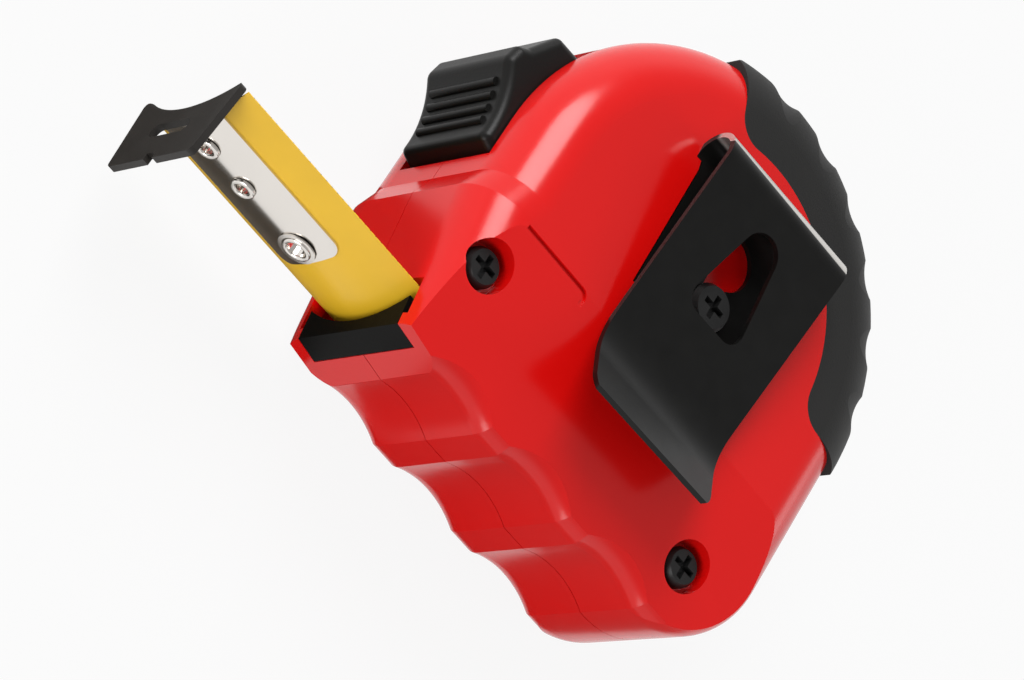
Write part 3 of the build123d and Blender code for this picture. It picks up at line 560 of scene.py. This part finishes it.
class TAPE_OT_run(PieceOperator):
    """Lay the run of tape that rises from the straight tape to the coil"""

    bl_idname = "tape_measure.run"
    bl_label = "Tape Run"

    def place(self, sizes, along, across):
        """Point of the run's rounded side, with along from 0 to 1 and across from -1 to 1."""
        run_length = lead_high.x - lead_low.x
        travel = along * run_length
        climb = (travel - sizes.run_foot) / (run_length - sizes.run_foot - sizes.run_head)
        climb = min(max(climb, 0), 1)
        climb = climb * climb * (3 - 2 * climb)
        x = lead_low.x + travel
        axis_y = blade_low.y + sizes.section_radius
        radius = sizes.section_radius - sizes.tape_thickness - sizes.nest_gap
        angle = across * asin(half_chord / sizes.section_radius)
        hollow = Vector((x, axis_y - radius * cos(angle), mid_height + radius * sin(angle)))
        half_width = (lead_high.z - lead_low.z) / 2
        flat = Vector((x, lead_high.y - sizes.tape_thickness, mid_height + across * half_width))
        return hollow.lerp(flat, climb)

    def execute(self, context):
        sizes = context.scene.tape_measure_print
        start_piece()
        bpy.ops.mesh.primitive_grid_add(x_subdivisions=40, y_subdivisions=16, size=2)
        run = bpy.context.object
        for point in run.data.vertices:
            point.co = self.place(sizes, (point.co.x + 1) / 2, point.co.y)
        thicken(run, sizes.tape_thickness)
        bpy.ops.object.shade_smooth_by_angle(angle=radians(40))
        finish_piece("tape_run", bpy.data.materials["tape_lacquer"])
        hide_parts("tape_lead")
        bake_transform(run)
        return {"FINISHED"}


class TAPE_OT_numbers(PieceOperator):
    """Print a number at each ten millimetres of the tape's hollow side that the rivets leave free"""

    bl_idname = "tape_measure.numbers"
    bl_label = "Tape Numbers"

    def lettering(self, sizes, number):
        """A flat number that faces the hollow side, just before its long line."""
        start_piece()
        bpy.ops.object.text_add()
        words = bpy.context.object
        words.data.body = str(number)
        words.data.size = sizes.digit_height
        words.data.align_x = "RIGHT"
        words.data.align_y = "CENTER"
        words.data.resolution_u = 3
        bpy.ops.object.convert(target="MESH")
        before_line = blade_low.x + number * sizes.number_pitch - sizes.line_width * 2
        place = Matrix.Translation((before_line, blade_high.y, mid_height))
        bpy.context.object.matrix_world = place @ Matrix.Rotation(radians(-90), 4, "X")
        bpy.ops.object.mode_set(mode="EDIT")
        bpy.ops.mesh.select_all(action="SELECT")
        bpy.ops.mesh.remove_doubles(threshold=0.001 * MM)
        bpy.ops.mesh.quads_convert_to_tris()
        bpy.ops.mesh.subdivide(number_cuts=3)
        bpy.ops.object.mode_set(mode="OBJECT")
        bpy.ops.object.transform_apply(location=True, rotation=True, scale=True)
        return bpy.context.object

    def lay_on_tape(self, printed, lift):
        """Drops a flat number onto the curved tape."""
        wrap = printed.modifiers.new("lay on the tape", "SHRINKWRAP")
        wrap.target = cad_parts["tape_blade"]
        wrap.wrap_method = "PROJECT"
        wrap.use_project_y = True
        wrap.use_negative_direction = True
        wrap.use_positive_direction = False
        wrap.offset = lift
        bpy.ops.object.modifier_apply(modifier=wrap.name)

    def execute(self, context):
        sizes = context.scene.tape_measure_print
        ink = coated_steel("tape_ink", tint("ink_black"), roughness=0.45, metal=0.0)
        first = int((rivet_high.x - blade_low.x) / sizes.number_pitch) + 1
        last = int((blade_high.x - blade_low.x) / sizes.number_pitch)
        for number in range(first, last + 1):
            printed = self.lettering(sizes, number)
            self.lay_on_tape(printed, sizes.digit_lift)
            thicken(printed, sizes.digit_lift)
            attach(finish_piece(f"tape_number_{number}", ink), "blade")
        return {"FINISHED"}


class TAPE_OT_hook(PieceOperator):
    """Finish the end hook in dark coating and its plate in bright nickel"""

    bl_idname = "tape_measure.hook"
    bl_label = "Hook and Plate"

    def execute(self, context):
        dress(coated_steel("hook_coat", tint("hook_dark"), roughness=0.42, metal=0.0), "end_hook")
        dress(bright_nickel("plate_nickel", tint("nickel")), "hook_plate", "hook_rivets", "end_rivet")
        return {"FINISHED"}


class TAPE_OT_inside(PieceOperator):
    """Finish the reel, spindle and spring inside the case"""

    bl_idname = "tape_measure.inside"
    bl_label = "Reel and Spring"

    def execute(self, context):
        plain = grained_plastic("inner_plastic", tint("inner_grey"), roughness=0.5)
        dress(plain, "spindle", "thrust_washers", "reel_drum", "reel_cover")
        dress(coated_steel("spring_steel", tint("spring_blue"), roughness=0.3, metal=1.0), "mainspring")
        return {"FINISHED"}


class TAPE_OT_stage(PieceOperator):
    """Set up the floor, the cards, the lights and the camera"""

    bl_idname = "tape_measure.stage"
    bl_label = "Studio"

    def floor(self, studio):
        """Pale paper that the camera and reflections see as nearly white, and that keeps the shadow."""
        start_piece()
        bpy.ops.mesh.primitive_plane_add(size=studio.floor_size, location=(0, 0, cad_box[0].z))
        ground = bpy.context.object
        ground.name = "floor"
        paper = Finish("floor_paper", {"Roughness": 0.8, "Base Color": tuple(studio.floor_grey)})
        mirrored = paper.ray("Is Glossy Ray").larger(paper.ray("Is Transmission Ray"))
        seen = paper.ray("Is Camera Ray").larger(mirrored * studio.floor_mirrored)
        white = paper.node("ShaderNodeEmission", {}, {"Color": (1.0, 1.0, 1.0), "Strength": 1.0})
        lit = Link(paper, paper.shader.outputs[0])
        shown = paper.node("ShaderNodeMixShader", {}, {0: seen * studio.floor_glow, 1: lit, 2: white})
        paper.connect(paper.nodes["Material Output"].inputs["Surface"], shown)
        ground.data.materials.append(paper.material)

    def card(self, name, base, lift, low, high):
        """A dark card just over the floor that only reflections see: a painted dark reflection that gives
        glossy faces depth.
        """
        start_piece()
        middle = (Vector(low) + Vector(high)) / 2
        bpy.ops.mesh.primitive_plane_add(size=1, location=(*middle, cad_box[0].z + lift))
        card = bpy.context.object
        card.name = name
        card.dimensions = (high[0] - low[0], high[1] - low[1], 0)
        bpy.ops.object.transform_apply(location=True, rotation=True, scale=True)
        for ray in ("camera", "diffuse", "transmission", "shadow"):
            setattr(card, f"visible_{ray}", False)
        paper = Finish(name, {"Roughness": 0.9, "Specular IOR Level": 0.0, "Base Color": tuple(base)})
        card.data.materials.append(paper.material)

    def world(self, studio):
        """White for the camera, and for other rays a dome that is brightest near the floor."""
        scene = bpy.context.scene
        scene.world = scene.world or bpy.data.worlds.new("studio")
        scene.world.use_nodes = True
        sky = Tree(scene.world.node_tree)
        height = sky.axes(sky.node("ShaderNodeTexCoord", {}, {}, "Generated"))[2]
        overhead = sky.step(height, studio.dome_start, studio.dome_end)
        dome = studio.horizon_level + (studio.zenith_level - studio.horizon_level) * overhead
        back = sky.nodes["Background"].inputs
        sky.connect(back["Color"], (1.0, 1.0, 1.0))
        sky.connect(back["Strength"], dome + (1 - dome) * sky.ray("Is Camera Ray"))

    def lamp(self, name, power, direction, distance, size):
        """A round soft lamp that points at the case."""
        target = Vector((0, 0, mid_height))
        start_piece()
        bpy.ops.object.light_add(type="AREA", location=target + Vector(direction).normalized() * distance)
        lamp = bpy.context.object
        lamp.name = name
        lamp.data.shape = "DISK"
        lamp.data.size = size
        lamp.data.energy = power
        lamp.rotation_euler = (target - lamp.location).to_track_quat("-Z", "Y").to_euler()

    def camera(self, studio):
        """The camera, at the angle that shows the clip side, the mouth and the grooves."""
        start_piece()
        bpy.ops.object.camera_add()
        camera = bpy.context.object
        right = Vector(studio.camera_right)
        up = Vector(studio.camera_up)
        turn = Matrix((right, up, right.cross(up))).transposed().to_4x4()
        camera.matrix_world = Matrix.Translation(studio.camera_place) @ turn
        camera.data.lens = studio.lens
        camera.data.sensor_width = studio.sensor
        bpy.context.scene.camera = camera

    def execute(self, context):
        studio = context.scene.tape_measure_studio
        self.floor(studio)
        lift = studio.card_lift
        # Painted reflections: dark cards that only the nickel plate and the finger grooves mirror.
        self.card("plate_flag", studio.plate_card, lift, low=(-0.08, -0.038), high=(-0.024, -0.005))
        self.card("groove_flag", studio.groove_card, lift, low=(-0.014, -0.085), high=(0.08, -0.034))
        self.world(studio)
        self.lamp("key_lamp", studio.key_power, direction=(-0.58, 0.5, 0.64), distance=0.7, size=0.45)
        self.lamp("front_lamp", studio.front_power, direction=(-0.42, -0.86, 0.28), distance=0.8, size=0.5)
        self.lamp("rear_lamp", studio.rear_power, direction=(0.9, 0.25, 0.35), distance=0.7, size=0.4)
        self.camera(studio)
        context.scene.view_settings.view_transform = "Standard"
        return {"FINISHED"}


PIECE_OPERATORS = (
    TAPE_OT_case,
    TAPE_OT_bumpers,
    TAPE_OT_lock,
    TAPE_OT_clip,
    TAPE_OT_screws,
    TAPE_OT_blade,
    TAPE_OT_run,
    TAPE_OT_numbers,
    TAPE_OT_hook,
    TAPE_OT_inside,
    TAPE_OT_stage,
)

SETTINGS = {
    "tape_measure_finish": TapeMeasureFinish,
    "tape_measure_print": TapeMeasurePrint,
    "tape_measure_studio": TapeMeasureStudio,
}


class TAPE_PT_panel(bpy.types.Panel):
    """Lists the pieces and the settings"""

    bl_idname = "TAPE_PT_panel"
    bl_label = "Tape Measure"
    bl_space_type = "VIEW_3D"
    bl_region_type = "UI"
    bl_category = "Tape Measure"

    def draw(self, context):
        layout = self.layout
        for operator in PIECE_OPERATORS:
            layout.operator(operator.bl_idname)
        for settings in SETTINGS:
            group = getattr(context.scene, settings)
            column = layout.column()
            for name in group.__annotations__:
                column.prop(group, name)


CLASSES = (*SETTINGS.values(), *PIECE_OPERATORS, TAPE_PT_panel)


def register():
    for cls in CLASSES:
        bpy.utils.register_class(cls)
    for name, cls in SETTINGS.items():
        setattr(bpy.types.Scene, name, PointerProperty(type=cls))


def unregister():
    for name in SETTINGS:
        delattr(bpy.types.Scene, name)
    for cls in reversed(CLASSES):
        bpy.utils.unregister_class(cls)


def main():
    register()
    for operator in PIECE_OPERATORS:
        family, name = operator.bl_idname.split(".")
        getattr(getattr(bpy.ops, family), name)()


if __name__ == "__main__":
    main()
